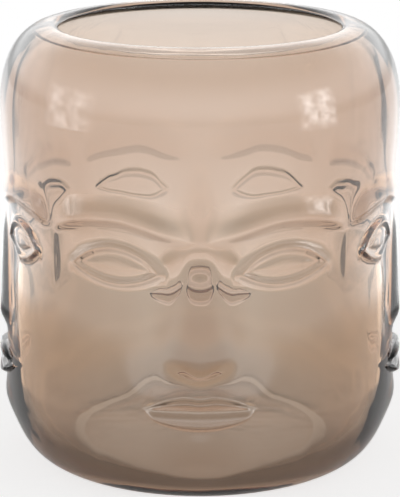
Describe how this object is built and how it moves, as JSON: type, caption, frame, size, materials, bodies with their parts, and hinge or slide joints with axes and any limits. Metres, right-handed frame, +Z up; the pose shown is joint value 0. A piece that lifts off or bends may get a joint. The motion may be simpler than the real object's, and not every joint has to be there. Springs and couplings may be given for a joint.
{
  "type": "glass vase",
  "caption": "Thick smoked-glass drum vase with a rounded shoulder and foot, a wide rounded mouth and calm faces in relief.",
  "frame": {"origin": "centre of the standing ring, on the table", "axes": "+Z up along the vase's axis, -Y the way the front face looks, +X to the viewer's right"},
  "size_m": [0.1806, 0.1806, 0.1945],
  "materials": {
    "smoked_glass": "clear brown-grey tint through the whole glass, fire-polished surface"
  },
  "bodies": {
    "root": {"glass_vase": "smoked_glass"}
  },
  "joints": []
}
